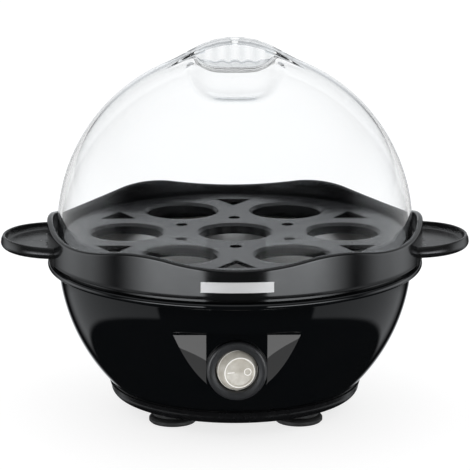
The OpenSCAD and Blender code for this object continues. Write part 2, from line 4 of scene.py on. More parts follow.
import bmesh
import bpy
import numpy as np
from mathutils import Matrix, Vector


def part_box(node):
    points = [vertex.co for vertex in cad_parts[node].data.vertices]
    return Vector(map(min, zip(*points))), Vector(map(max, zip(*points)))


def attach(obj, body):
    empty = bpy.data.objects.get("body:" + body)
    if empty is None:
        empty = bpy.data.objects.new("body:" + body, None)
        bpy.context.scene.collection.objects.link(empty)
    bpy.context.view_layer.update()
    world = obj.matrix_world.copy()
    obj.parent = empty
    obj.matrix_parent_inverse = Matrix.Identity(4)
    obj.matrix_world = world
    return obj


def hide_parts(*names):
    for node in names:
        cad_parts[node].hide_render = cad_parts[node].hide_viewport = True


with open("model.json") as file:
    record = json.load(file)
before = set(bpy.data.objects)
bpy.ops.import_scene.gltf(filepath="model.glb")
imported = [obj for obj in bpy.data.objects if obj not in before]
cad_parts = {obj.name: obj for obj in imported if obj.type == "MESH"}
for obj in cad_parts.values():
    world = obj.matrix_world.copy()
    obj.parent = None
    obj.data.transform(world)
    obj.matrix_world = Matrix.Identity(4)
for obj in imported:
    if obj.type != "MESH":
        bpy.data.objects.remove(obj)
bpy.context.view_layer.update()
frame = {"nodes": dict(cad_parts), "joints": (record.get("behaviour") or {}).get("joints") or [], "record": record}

NODES = frame["nodes"]
MM = 0.001


# ---------------------------------------------------------------- places taken from the frame, in millimetres

def extent(node):
    """A CAD node's lowest and highest corners, to the 0.1 mm that its faceted mesh can tell."""
    return [[round(v / MM, 1) for v in corner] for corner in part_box(node)]


def middle_z(node):
    """Height of the middle of a CAD node."""
    low, high = extent(node)
    return (low[2] + high[2]) / 2


bowl_low, bowl_high = extent("base_housing")
switch_low, switch_high = extent("switch_body")
handle_high = extent("handle_right")[1]
lid_low, lid_high = extent("lid_dome")
rocker_joint = next(joint for joint in frame["joints"] if joint["name"] == "rocker_tilt")


# ---------------------------------------------------------------- camera, light and floor

CAMERA_RISE = math.radians(13.6)


def maths(nt, kind, first, second=None):
    """A Math node's output; first and second are numbers or sockets."""
    node = nt.nodes.new("ShaderNodeMath")
    node.operation = kind
    for socket, value in zip(node.inputs, (first, second)):
        if isinstance(value, (int, float)):
            socket.default_value = value
        elif value is not None:
            nt.links.new(value, socket)
    return node.outputs[0]


def step(nt, value, start, end):
    """A smooth step of a socket's value, 0 at start and 1 at end; start may be the higher of the two."""
    node = nt.nodes.new("ShaderNodeMapRange")
    node.interpolation_type = "SMOOTHSTEP"
    node.inputs["From Min"].default_value, node.inputs["From Max"].default_value = start, end
    nt.links.new(value, node.inputs["Value"])
    return node.outputs[0]


def add_camera():
    """A long lens, a little above the rim and a little to the left of the front."""
    target = Vector((0, 0, 73.5 * MM))
    distance, rise, turn = 1.235, CAMERA_RISE, math.radians(0.7)
    data = bpy.data.cameras.new("camera")
    data.lens, data.sensor_width = 224.2, 36
    data.clip_start, data.clip_end = 0.01, 50
    camera = bpy.data.objects.new("camera", data)
    bpy.context.scene.collection.objects.link(camera)
    back = Vector((-math.cos(rise) * math.sin(turn), -math.cos(rise) * math.cos(turn), math.sin(rise)))
    camera.location = target + distance * back
    camera.rotation_euler = (-back).to_track_quat("-Z", "Y").to_euler()
    bpy.context.scene.camera = camera


def add_world():
    """White to the eye, an even pale room to matt surfaces, and to gloss a dark room with soft windows.

    Each window is a range of azimuth from the front, the same on the left and the right, and a range of pitch,
    in degrees, and each range rises and falls over its own soft edges.
    """
    world = bpy.data.worlds.new("studio")
    bpy.context.scene.world = world
    world.use_nodes = True
    nt = world.node_tree
    nt.nodes.clear()
    link = nt.links.new

    def between(value, rise, fall):
        return maths(nt, "MULTIPLY", step(nt, value, *rise), maths(nt, "SUBTRACT", 1.0, step(nt, value, *fall)))

    place = nt.nodes.new("ShaderNodeTexCoord")
    split = nt.nodes.new("ShaderNodeSeparateXYZ")
    link(place.outputs["Generated"], split.inputs[0])
    round_front = maths(nt, "ARCTAN2", split.outputs["X"], maths(nt, "MULTIPLY", split.outputs["Y"], -1.0))
    azimuth = maths(nt, "ABSOLUTE", maths(nt, "DEGREES", round_front))
    pitch = maths(nt, "DEGREES", maths(nt, "ARCSINE", split.outputs["Z"]))

    total = 0.004
    for level, across, up in (
            (5.0, ((17.5, 20), (44, 79)), ((-18, -13), (-6, 12))),
            (0.45, ((52, 55), (140, 156)), ((-31, -28.5), (-20, -15))),
            (1.3, ((76, 100), (112, 150)), ((-19, -13), (6, 30))),
            (0.55, ((118, 150), (200, 201)), ((-2, 6), (60, 90))),
            (0.9, ((160, 174), (200, 201)), ((-30, -20), (0, 8))),
            (0.7, ((-1, -0.5), (200, 201)), ((20, 60), (200, 201)))):
        window = maths(nt, "MULTIPLY", between(azimuth, *across), between(pitch, *up))
        total = maths(nt, "ADD", maths(nt, "MULTIPLY", window, level), total)

    def background(colour, strength):
        node = nt.nodes.new("ShaderNodeBackground")
        node.inputs["Color"].default_value = (*colour, 1)
        if isinstance(strength, float):
            node.inputs["Strength"].default_value = strength
        else:
            link(strength, node.inputs["Strength"])
        return node.outputs[0]

    def mixed(share, first, second):
        node = nt.nodes.new("ShaderNodeMixShader")
        link(share, node.inputs["Fac"])
        link(first, node.inputs[1])
        link(second, node.inputs[2])
        return node.outputs[0]

    ray = nt.nodes.new("ShaderNodeLightPath")
    out = nt.nodes.new("ShaderNodeOutputWorld")
    room = mixed(ray.outputs["Is Diffuse Ray"], background((1, 1, 1), 1.0), background((1, 1, 1), 0.72))
    link(mixed(ray.outputs["Is Glossy Ray"], room, background((0.97, 1.0, 1.03), total)), out.inputs["Surface"])


def add_floor():
    """A plain pale table top, which the object's gloss doesn't mirror."""
    mesh = bpy.data.meshes.new("floor")
    half = 6.0
    mesh.from_pydata([(-half, -half, 0), (half, -half, 0), (half, half, 0), (-half, half, 0)], [], [(0, 1, 2, 3)])
    floor = bpy.data.objects.new("floor", mesh)
    bpy.context.scene.collection.objects.link(floor)
    floor.data.materials.append(surface(
        "floor_paint", (0.4, 0.4, 0.4), (0.39, 0.39, 0.39), patch=300 * MM, rough=(0.7, 0.8), bump=0.01 * MM,
        emission=1.95))
    floor.visible_glossy = False


# ---------------------------------------------------------------- materials

def surface(name, colour, tint, patch, rough, bump, grain=None, stretch=(1, 1, 1), emission=0, **sockets):
    """A procedural finish: two colours that drift over patches, uneven roughness, and a fine bump.

    patch and grain are sizes in metres; sockets are the shader's own uniform values by name.
    """
    material = bpy.data.materials.new(name)
    material.use_nodes = True
    nt = material.node_tree
    shader = nt.nodes["Principled BSDF"]
    place = nt.nodes.new("ShaderNodeTexCoord")
    scale = nt.nodes.new("ShaderNodeMapping")
    scale.inputs["Scale"].default_value = stretch
    nt.links.new(place.outputs["Object"], scale.inputs["Vector"])

    def noise(size, detail):
        node = nt.nodes.new("ShaderNodeTexNoise")
        node.inputs["Scale"].default_value = 1 / size
        node.inputs["Detail"].default_value = detail
        nt.links.new(scale.outputs[0], node.inputs["Vector"])
        return node.outputs["Fac"]

    mix = nt.nodes.new("ShaderNodeMix")
    mix.data_type = "RGBA"
    nt.links.new(noise(patch, 4), mix.inputs["Factor"])
    mix.inputs["A"].default_value = (*colour, 1)
    mix.inputs["B"].default_value = (*tint, 1)
    nt.links.new(mix.outputs["Result"], shader.inputs["Base Color"])

    spread = nt.nodes.new("ShaderNodeMapRange")
    spread.inputs["From Min"].default_value = 0.3
    spread.inputs["From Max"].default_value = 0.7
    spread.inputs["To Min"].default_value, spread.inputs["To Max"].default_value = rough
    nt.links.new(noise(patch * 0.6, 3), spread.inputs["Value"])
    nt.links.new(spread.outputs[0], shader.inputs["Roughness"])

    ripple = nt.nodes.new("ShaderNodeBump")
    ripple.inputs["Distance"].default_value = bump
    ripple.inputs["Strength"].default_value = 1.0
    nt.links.new(noise(grain or patch * 0.25, 2), ripple.inputs["Height"])
    nt.links.new(ripple.outputs[0], shader.inputs["Normal"])

    if emission:
        nt.links.new(mix.outputs["Result"], shader.inputs["Emission Color"])
        shader.inputs["Emission Strength"].default_value = emission
    for socket, value in sockets.items():
        shader.inputs[socket.replace("_", " ")].default_value = value
    return material


def paint_flute_shade(material):
    """Painted shade: greys the clear lid in soft bands between the flutes, out to the ends and the foot of the
    grip.
    """
    nt = material.node_tree
    colour = nt.nodes["Principled BSDF"].inputs["Base Color"]
    plain = colour.links[0].from_socket
    place = nt.nodes.new("ShaderNodeTexCoord")
    split = nt.nodes.new("ShaderNodeSeparateXYZ")
    nt.links.new(place.outputs["Object"], split.inputs[0])
    x, z = split.outputs["X"], split.outputs["Z"]
    ends, foot = (22, 16), (GRIP_TOP - 11.9, GRIP_TOP - 8.9)

    wave = maths(nt, "COSINE", maths(nt, "MULTIPLY", x, 2 * math.pi / (FLUTE_PITCH * MM)))
    band = maths(nt, "ADD", maths(nt, "MULTIPLY", wave, -0.4), 0.6)
    across = step(nt, maths(nt, "ABSOLUTE", x), *(MM * edge for edge in ends))
    on_grip = maths(nt, "MULTIPLY", across, step(nt, z, *(MM * edge for edge in foot)))
    # Painted shade: the lid's colour is mixed towards this grey in the bands between the flutes
    mix = nt.nodes.new("ShaderNodeMix")
    mix.data_type = "RGBA"
    nt.links.new(maths(nt, "MULTIPLY", band, on_grip), mix.inputs["Factor"])
    nt.links.new(plain, mix.inputs["A"])
    mix.inputs["B"].default_value = (0.885, 0.895, 0.9, 1)
    nt.links.new(mix.outputs["Result"], colour)


def finishes():
    """One material for each slot of the record."""
    black = (0.0022, 0.0028, 0.0034)
    return {
        "gloss_black": surface("gloss_black", black, (0.0035, 0.0038, 0.0042), 18 * MM, (0.03, 0.06), 0.002 * MM,
                               grain=7 * MM),
        "cover_black": surface("cover_black", (0.0028, 0.003, 0.0034), (0.005, 0.005, 0.0055), 9 * MM, (0.22, 0.3),
                               0.006 * MM, grain=0.5 * MM),
        "collar_black": surface("collar_black", (0.0045, 0.0048, 0.0052), (0.007, 0.0072, 0.0076), 14 * MM,
                                (0.1, 0.15), 0.002 * MM, grain=4 * MM),
        "handle_black": surface("handle_black", (0.005, 0.0052, 0.0055), (0.009, 0.009, 0.0092), 9 * MM,
                                (0.2, 0.28), 0.006 * MM, grain=0.9 * MM),
        "tray_black": surface("tray_black", (0.006, 0.0065, 0.007), (0.01, 0.01, 0.011), 16 * MM, (0.16, 0.24),
                              0.003 * MM, grain=2 * MM),
        "clear_lid": surface("clear_lid", (0.967, 0.972, 0.975), (0.957, 0.964, 0.968), 30 * MM, (0.0, 0.02),
                             0.0005 * MM, grain=12 * MM, Transmission_Weight=1.0, IOR=1.17),
        "foot_rubber": surface("foot_rubber", (0.008, 0.008, 0.008), (0.016, 0.016, 0.016), 4 * MM, (0.5, 0.68),
                               0.02 * MM, grain=0.4 * MM),
        "plate_silver": surface("plate_silver", (0.66, 0.66, 0.67), (0.72, 0.72, 0.72), 6 * MM, (0.34, 0.46),
                                0.003 * MM, grain=1.2 * MM, stretch=(1, 1, 14), Metallic=0.25),
        # This white glows a little by emission: painted light on the white marks, and painted highlights where it
        # dresses the rocker's rings
        "mark_white": surface("mark_white", (0.9, 0.89, 0.86), (0.84, 0.83, 0.8), 1 * MM, (0.3, 0.4), 0.002 * MM,
                              grain=0.3 * MM, emission=0.3),
        "dish_steel": surface("dish_steel", (0.5, 0.5, 0.5), (0.6, 0.59, 0.57), 10 * MM, (0.32, 0.42), 0.001 * MM,
                              grain=1.5 * MM, Metallic=1.0),
        "screw_steel": surface("screw_steel", (0.55, 0.55, 0.55), (0.68, 0.68, 0.67), 2 * MM, (0.2, 0.35),
                               0.004 * MM, grain=0.5 * MM, Metallic=1.0),
        "spring_steel": surface("spring_steel", (0.42, 0.42, 0.43), (0.5, 0.5, 0.5), 4 * MM, (0.28, 0.4),
                                0.004 * MM, grain=0.8 * MM, Metallic=1.0),
        "seal_silicone": surface("seal_silicone", (0.45, 0.43, 0.4), (0.55, 0.53, 0.5), 6 * MM, (0.5, 0.65),
                                 0.01 * MM, grain=0.5 * MM),
        "spreader_aluminium": surface("spreader_aluminium", (0.6, 0.6, 0.62), (0.72, 0.72, 0.72), 8 * MM,
                                      (0.35, 0.5), 0.02 * MM, grain=0.8 * MM, Metallic=1.0),
        "element_sheath": surface("element_sheath", (0.25, 0.24, 0.23), (0.34, 0.31, 0.28), 5 * MM, (0.4, 0.55),
                                  0.01 * MM, grain=0.6 * MM, Metallic=1.0),
        "white_ceramic": surface("white_ceramic", (0.72, 0.7, 0.65), (0.8, 0.79, 0.75), 3 * MM, (0.3, 0.45),
                                 0.01 * MM, grain=0.4 * MM),
        "brown_phenolic": surface("brown_phenolic", (0.06, 0.032, 0.02), (0.1, 0.055, 0.032), 2.5 * MM, (0.3, 0.42),
                                  0.01 * MM, grain=0.4 * MM),
        "switch_black": surface("switch_black", (0.016, 0.017, 0.019), (0.024, 0.025, 0.027), 4 * MM, (0.3, 0.4),
                                0.01 * MM, grain=0.35 * MM),
        # The rocker glows faintly by emission: painted light that lifts its mottled colour
        "rocker_clear": surface("rocker_clear", (0.9, 0.88, 0.82), (0.36, 0.32, 0.25), 3.5 * MM, (0.08, 0.2),
                                0.03 * MM, grain=0.8 * MM, emission=0.06, Transmission_Weight=0.15, IOR=1.49),
        "contact_brass": surface("contact_brass", (0.6, 0.42, 0.17), (0.7, 0.52, 0.25), 2 * MM, (0.25, 0.4),
                                 0.004 * MM, grain=0.4 * MM, Metallic=1.0),
        "lamp_glass": surface("lamp_glass", (0.85, 0.45, 0.18), (0.9, 0.55, 0.25), 2 * MM, (0.02, 0.08),
                              0.002 * MM, grain=0.6 * MM, Transmission_Weight=0.6),
        "gland_black": surface("gland_black", (0.009, 0.009, 0.009), (0.016, 0.016, 0.016), 3 * MM, (0.4, 0.55),
                               0.015 * MM, grain=0.4 * MM),
        "wire_brown": surface("wire_brown", (0.11, 0.045, 0.02), (0.16, 0.07, 0.035), 3 * MM, (0.35, 0.5),
                              0.01 * MM, grain=0.5 * MM),
        "wire_grey": surface("wire_grey", (0.2, 0.2, 0.19), (0.28, 0.28, 0.27), 3 * MM, (0.35, 0.5), 0.01 * MM,
                             grain=0.5 * MM),
        "wire_blue": surface("wire_blue", (0.02, 0.06, 0.22), (0.035, 0.09, 0.3), 3 * MM, (0.35, 0.5), 0.01 * MM,
                             grain=0.5 * MM),
        "wire_green": surface("wire_green", (0.03, 0.2, 0.04), (0.06, 0.3, 0.07), 3 * MM, (0.35, 0.5), 0.01 * MM,
                              grain=0.5 * MM),
    }


def dress_nodes(looks):
    """Every CAD node takes the finish of its own slot."""
    for part in frame["record"]["subparts"]:
        node = NODES[part["node"]]
        node.data.materials.clear()
        node.data.materials.append(looks[part["material_slot"]])


# ---------------------------------------------------------------- mesh helpers, in millimetres

def solid(name, verts, faces, slot, body, replaces=(), crease=32, look=None):
    """A closed piece from points in mm, shaded smooth except over creases, riding on a CAD body."""
    mesh = bpy.data.meshes.new(name)
    mesh.from_pydata((np.asarray(verts, float) * MM).tolist(), [], faces)
    bm = bmesh.new()
    bm.from_mesh(mesh)
    bmesh.ops.remove_doubles(bm, verts=bm.verts, dist=0.0005 * MM)
    bmesh.ops.dissolve_degenerate(bm, edges=bm.edges, dist=0.0005 * MM)
    bmesh.ops.recalc_face_normals(bm, faces=bm.faces)
    bm.to_mesh(mesh)
    bm.free()
    piece = bpy.data.objects.new(name, mesh)
    bpy.context.scene.collection.objects.link(piece)
    mesh.shade_smooth()
    mesh.set_sharp_from_angle(angle=math.radians(crease))
    mesh.materials.append(LOOKS[look or slot])
    if replaces:
        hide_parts(*replaces)
    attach(piece, body)
    return piece


def sector(r_in, r_out, z0, z1, middle, half, steps=24):
    """A closed piece of ring, middle and half in degrees."""
    angles = np.radians(np.linspace(middle - half, middle + half, steps + 1))
    section = [(r_in, z0), (r_out, z0), (r_out, z1), (r_in, z1)]
    verts = [(r * math.cos(a), r * math.sin(a), z) for a in angles for r, z in section]
    faces = grid_faces(steps + 1, 4, False, True)
    faces += [(0, 1, 2, 3), tuple(4 * steps + k for k in (3, 2, 1, 0))]
    return verts, faces


def grid_faces(rows, columns, wrap_rows, wrap_columns, start=0):
    """Quads over a grid of points stored row by row."""
    faces = []
    for i in range(rows if wrap_rows else rows - 1):
        for j in range(columns if wrap_columns else columns - 1):
            i2, j2 = (i + 1) % rows, (j + 1) % columns
            faces.append((start + i * columns + j, start + i2 * columns + j,
                          start + i2 * columns + j2, start + i * columns + j2))
    return faces


def arc(centre, radius, start, end, steps):
    """Points of an arc in a section, angles in degrees."""
    angles = np.radians(np.linspace(start, end, steps + 1))
    return [(centre[0] + radius * math.cos(a), centre[1] + radius * math.sin(a)) for a in angles]


def turned(section, steps=192):
    """A closed section of (r, z) points turned round Z: a ring, or a disc where it touches r = 0."""
    angles = np.linspace(0, 2 * math.pi, steps, endpoint=False)
    verts = [(r * math.cos(a), r * math.sin(a), z) for a in angles for r, z in section]
    return verts, grid_faces(steps, len(section), True, True)


def torus(radius, z, thick, sides, steps):
    """A round ring about Z; thick is the radius of its section."""
    angles = np.linspace(0, 2 * math.pi, sides, endpoint=False)
    return turned([(radius + thick * math.cos(a), z + thick * math.sin(a)) for a in angles], steps)


def together(*shells):
    """Several closed shells as one list of points and faces."""
    verts, faces = [], []
    for v, f in shells:
        faces += [tuple(k + len(verts) for k in face) for face in f]
        verts += [tuple(p) for p in v]
    return verts, faces


def moved(shell, place):
    """A shell with every point passed through place."""
    verts, faces = shell
    return [place(*p) for p in verts], faces


def smoothstep(t):
    """0 below 0, 1 above 1, smooth between."""
    t = np.clip(t, 0, 1)
    return t * t * (3 - 2 * t)


def soft_min(a, b, k):
    """The lower of a and b, rounded over k where they cross."""
    h = np.clip(0.5 + 0.5 * (b - a) / k, 0, 1)
    return b * (1 - h) + a * h - k * h * (1 - h)


# ---------------------------------------------------------------- bowl

BOWL_FOOT, BOWL_TOP, RIM_R = bowl_low[2], bowl_high[2], bowl_high[0]
BEAD_R, BEAD_OUT, WALL, FLANGE_IN = 1.4, 4.4, 2.4, 65.8
FLOOR_T, FLOOR_IN = 1.4, 40.0
BOWL_ARC, BOWL_ARC_X, BOWL_ARC_Z = 77.9, RIM_R - BEAD_OUT - 77.9, 66.4
BEZEL_OUT = 2.2
SWITCH_Z, SWITCH_SEAT = rocker_joint["pos_m"][2] / MM, -switch_low[1] - BEZEL_OUT
BORE_R, BOSS_R, BOSS_BACK = 10.05, 12.4, -9.6
CLAMP_RING, CLAMP_ANGLES, COVER_RING, COVER_ANGLES = 46, (45, 135, 225, 315), 45.5, (30, 150, 270)
GLAND_Z, GLAND_SEAT, GLAND_BORE_R, GLAND_BOSS_R, GLAND_BACK = middle_z("cord_gland"), 71, 5.1, 8.5, -9.2


def bowl_r(z):
    """Radius of the bowl's round side at a height."""
    return BOWL_ARC_X + np.sqrt(BOWL_ARC ** 2 - (z - BOWL_ARC_Z) ** 2)


PANEL_ARC, PANEL_ARC_Z, PANEL_FOOT, PANEL_LEDGE = 80.0, 56.0, 20.0, 50.0
PANEL_ARC_Y = math.sqrt(PANEL_ARC ** 2 - (PANEL_ARC_Z - PANEL_FOOT) ** 2) - bowl_r(PANEL_FOOT)


def bowl_side(turn, z, inset=0.0):
    """Radius of the bowl's side at an angle from the front, with the panel let in under its ledge."""
    round_r = bowl_r(z) - inset
    ahead = math.cos(turn)
    if ahead < 0.3:
        return round_r
    flat = math.sqrt((PANEL_ARC - inset) ** 2 - (z - PANEL_ARC_Z) ** 2) - PANEL_ARC_Y
    if inset == 0:
        from_axis = math.hypot(flat * math.tan(turn), z - SWITCH_Z)
        flat = min(flat, SWITCH_SEAT + 2 * float(smoothstep((from_axis - BOSS_R) / 1.2)))
    let_in = soft_min(round_r, flat / ahead, 0.35)
    share = smoothstep((PANEL_LEDGE + 0.35 + inset - z) / 0.7)
    return round_r + (let_in - round_r) * share


def boss(bore_r, outer_r, back, edge, steps, place):
    """A round boss with a bore, its outer edge rounded at the front."""
    section = [(bore_r, back), (outer_r, back), *arc((outer_r - edge, -edge), edge, 0, 90, 5), (bore_r, 0)]
    return moved(turned(section, steps), place)


def column(ring_r, angle, bore_r, outer_r, top, edge):
    """A screw column on the bowl's floor, at an angle in degrees, open down its middle."""
    section = [(bore_r, 0.5), (outer_r, 0.5), (outer_r, top - edge), (outer_r - 0.4, top), (bore_r, top)]
    middle_x, middle_y = ring_r * math.cos(math.radians(angle)), ring_r * math.sin(math.radians(angle))
    return moved(turned(section, 40), lambda x, y, z: (middle_x + x, middle_y + y, BOWL_FOOT + z))


def make_bowl():
    """The glossy housing: side, bead, flange, inner wall and floor, two bosses and the screw columns."""
    shelf = BOWL_TOP - 2 * BEAD_R
    neck, neck_r, panel_half = 0.8, 75.25, 38
    side_z = np.concatenate([np.linspace(BOWL_FOOT, PANEL_LEDGE - 1, 48),
                             np.linspace(PANEL_LEDGE - 0.75, PANEL_LEDGE + 0.75, 16),
                             np.linspace(PANEL_LEDGE + 1.2, shelf - neck, 13)])
    bead = arc((RIM_R - BEAD_R, shelf + BEAD_R), BEAD_R, -90, 90, 16)
    fine = np.radians(np.linspace(-panel_half, panel_half, 229))
    coarse = np.radians(np.linspace(panel_half, 360 - panel_half, 143))[1:-1]
    turns = np.concatenate([fine, coarse])
    verts = []
    for turn in turns:
        section = [(bowl_side(turn, z), z) for z in side_z]
        section += arc((neck_r, shelf - neck), neck, 180, 90, 5)[1:]
        section += bead + [(FLANGE_IN + 0.4, BOWL_TOP), (FLANGE_IN, BOWL_TOP - 0.4), (FLANGE_IN, shelf)]
        section += [(float(bowl_side(turn, z, WALL)), z) for z in side_z[::-1] if z > BOWL_FOOT + FLOOR_T]
        section += [(FLOOR_IN + 0.3, BOWL_FOOT + FLOOR_T), (FLOOR_IN, BOWL_FOOT + FLOOR_T - 0.3)]
        section += [(FLOOR_IN, BOWL_FOOT + 0.2), (FLOOR_IN + 0.2, BOWL_FOOT)]
        verts += [(r * math.sin(turn), -r * math.cos(turn), z) for r, z in section]
    shell = verts, grid_faces(len(turns), len(verts) // len(turns), True, True)
    switch_boss = boss(BORE_R, BOSS_R, BOSS_BACK, 0.5, 128, at_switch)
    gland_boss = boss(GLAND_BORE_R, GLAND_BOSS_R, GLAND_BACK, 0.6, 96,
                      lambda x, y, z: (-x, GLAND_SEAT + z, GLAND_Z + y))
    columns = [column(CLAMP_RING, angle, 2.2, 4.5, 25.5, 0.5) for angle in CLAMP_ANGLES]
    columns += [column(COVER_RING, angle, 1.3, 3.7, 8, 0.4) for angle in COVER_ANGLES]
    verts, faces = together(shell, switch_boss, gland_boss, *columns)
    solid("bowl_housing", verts, faces, "gloss_black", "base", ["base_housing"])


# ---------------------------------------------------------------- collar

COLLAR_FOOT, COLLAR_IN = 65.8, RIM_R - 2.4
LEDGE_TOP, LEDGE_LOW, LEDGE_IN = lid_low[2], lid_low[2] - 1.8, 67.0
SEAL_TOP, TONGUE_OUT, SKIRT_IN = extent("plate_seal")[1][2], 69.0, 75.0
HALF_WAVE, WAVE_LOW, WAVE_HIGH, HUMP_SHARE = 30, 78.1, extent("collar_ring")[1][2], 0.28
NOTCH_HALF, NOTCH_TOP = 18.0, 70.4
POCKET_HALF, PLATE_LOW, PLATE_HIGH, PLATE_DEPTH = 10.7, 68.8, 73.2, 0.7


def wave_top(angle):
    """Height of the wavy edge: a wide arc over each dip and a narrow one over each hump, meeting at a knee."""
    off = abs((math.degrees(angle) + HALF_WAVE) % (2 * HALF_WAVE) - HALF_WAVE)
    rise = WAVE_HIGH - WAVE_LOW
    knee = WAVE_HIGH - 0.8 * HUMP_SHARE * rise
    knee_turn = HALF_WAVE * HUMP_SHARE
    hump_x = RIM_R * math.sin(math.radians(knee_turn))
    dip_x = RIM_R * math.sin(math.radians(HALF_WAVE - knee_turn))
    hump_r = hump_x ** 2 / (2 * (WAVE_HIGH - knee))
    dip_r = dip_x ** 2 / (2 * (knee - WAVE_LOW))
    if off < knee_turn:
        return WAVE_HIGH - (RIM_R * math.sin(math.radians(off))) ** 2 / (2 * hump_r)
    return WAVE_LOW + (RIM_R * math.sin(math.radians(HALF_WAVE - off))) ** 2 / (2 * dip_r)


def make_collar():
    """The collar: a full-round wavy lip, a ledge, a tongue over the seal and a skirt, cut for handles and plate."""
    lip_r = (RIM_R - COLLAR_IN) / 2
    turns = set(np.linspace(-180, 180, 720, endpoint=False).round(4))
    for edge in (NOTCH_HALF, -NOTCH_HALF, 180 - NOTCH_HALF, NOTCH_HALF - 180, POCKET_HALF - 90, -POCKET_HALF - 90):
        turns |= {edge - 0.02, edge + 0.02}
    verts = []
    for turn in sorted(turns):
        top = wave_top(math.radians(turn))
        notched = abs(turn) < NOTCH_HALF or abs(turn) > 180 - NOTCH_HALF
        wall_r = RIM_R - PLATE_DEPTH if abs(turn + 90) < POCKET_HALF else RIM_R
        section = [(RIM_R - 0.5, COLLAR_FOOT), *arc((RIM_R - 0.5, COLLAR_FOOT + 0.5), 0.5, -60, 0, 3)]
        section += [(RIM_R, COLLAR_FOOT + 1.7), (RIM_R, PLATE_LOW), (wall_r, PLATE_LOW + 0.02)]
        section += [(wall_r, PLATE_HIGH - 0.02), (RIM_R, PLATE_HIGH), (RIM_R, top - lip_r - 0.3)]
        section += arc((COLLAR_IN + lip_r, top - lip_r), lip_r, 0, 180, 14)
        section += [(COLLAR_IN, LEDGE_TOP + 2.6), *arc((COLLAR_IN - 0.5, LEDGE_TOP + 0.5), 0.5, 0, -90, 4)]
        section += [(72, LEDGE_TOP), *arc((LEDGE_IN + 0.4, LEDGE_TOP - 0.4), 0.4, 90, 180, 4)]
        section += [(LEDGE_IN, SEAL_TOP + 0.2), (LEDGE_IN + 0.2, SEAL_TOP), (TONGUE_OUT - 0.2, SEAL_TOP)]
        section += [(TONGUE_OUT, SEAL_TOP + 0.2), (TONGUE_OUT, LEDGE_LOW), (SKIRT_IN - 0.1, LEDGE_LOW)]
        section += [(SKIRT_IN, BOWL_TOP + 0.1), (SKIRT_IN + 0.2, BOWL_TOP), (COLLAR_IN - 0.1, BOWL_TOP)]
        section += [(COLLAR_IN, BOWL_TOP + 0.1), (COLLAR_IN, COLLAR_FOOT)]
        if notched:
            section = [(r, max(z, NOTCH_TOP) if r > SKIRT_IN - 0.05 else z) for r, z in section]
        a = math.radians(turn)
        verts += [(r * math.cos(a), r * math.sin(a), z) for r, z in section]
    faces = grid_faces(len(turns), len(verts) // len(turns), True, True)
    solid("wavy_collar", verts, faces, "collar_black", "base", ["collar_ring"])


# ---------------------------------------------------------------- handles

HANDLE_R, HANDLE_FOOT = handle_high[1], 68.9
HANDLE_X, HANDLE_FLOOR, HANDLE_RIM = handle_high[0] - HANDLE_R, HANDLE_FOOT + 2.3, handle_high[2] - HANDLE_FOOT
LUG_X, LUG_Y, LUG_HALF, LUG_FOOT, LUG_TOP, LUG_HOLE = 71.9, 8.0, 3.6, 66.0, 68.3, 1.7


def handle_section(height):
    """Half of a handle's section, from its middle under the floor, up the upright rim and back over the dish."""
    under = [(d, HANDLE_FOOT + 0.35 * (1 - d / 22)) for d in np.linspace(2, 21, 9)]
    ridge = HANDLE_FOOT + height
    outer = arc((HANDLE_R - 2.4, HANDLE_FOOT + 2.4), 2.4, -90, 0, 9)
    outer += [(HANDLE_R - 0.2, ridge - 1.6), (HANDLE_R - 0.6, ridge - 0.75)]
    crest = arc((HANDLE_R - 1.3, ridge - 0.6), 0.6, 30, 165, 7)
    inner = [(HANDLE_R - 2.15, ridge - 1.4), (HANDLE_R - 2.5, HANDLE_FLOOR + 1.0)]
    inner += [(HANDLE_R - 3.0, HANDLE_FLOOR + 0.4), (HANDLE_R - 3.9, HANDLE_FLOOR + 0.1)]
    dish = [(d, HANDLE_FLOOR) for d in np.linspace(HANDLE_R - 5.5, 2, 7)]
    return under + outer + crest + inner + dish


def make_handle(side, name):
    """A half-oval handle with a dished top, its rim thinner towards the collar, with a root plate and two lugs."""
    steps = 160
    root_r = RIM_R - 0.2
    verts = []
    for turn in np.linspace(-math.pi, math.pi, steps, endpoint=False):
        away = abs(math.degrees(turn))
        for d, z in handle_section(HANDLE_RIM - 0.3 * float(smoothstep((away - 35) / 45))):
            x, y = HANDLE_X + d * math.cos(turn), d * math.sin(turn)
            verts.append((max(x, math.sqrt(root_r ** 2 - y * y)), y, z))
    count = len(verts) // steps
    faces = grid_faces(steps, count, True, False)
    faces += [tuple(k * count for k in range(steps))[::-1], tuple(k * count + count - 1 for k in range(steps))]
    root = sector(COLLAR_IN + 0.2, RIM_R, COLLAR_FOOT, NOTCH_TOP - 0.1, 0, NOTCH_HALF - 0.1)
    foot = sector(COLLAR_IN - 1, COLLAR_IN + 0.4, BOWL_TOP, NOTCH_TOP - 0.1, 0, NOTCH_HALF - 0.1)
    verts, faces = together((verts, faces), root, foot, lug(-LUG_Y), lug(LUG_Y))
    verts = [(side * x, side * y, z) for x, y, z in verts]
    solid(name, verts, faces, "handle_black", "base", [name.removesuffix("_grip")])


def lug(y):
    """A square lug with a screw hole."""
    verts = []
    for angle in np.linspace(0, 2 * math.pi, 48, endpoint=False):
        c, q = math.cos(angle), math.sin(angle)
        reach = LUG_HALF / max(abs(c), abs(q))
        for r, z in ((reach, LUG_FOOT), (reach, LUG_TOP), (LUG_HOLE, LUG_TOP), (LUG_HOLE, LUG_FOOT)):
            verts.append((LUG_X + r * c, y + r * q, z))
    return verts, grid_faces(48, 4, True, True)


# ---------------------------------------------------------------- switch

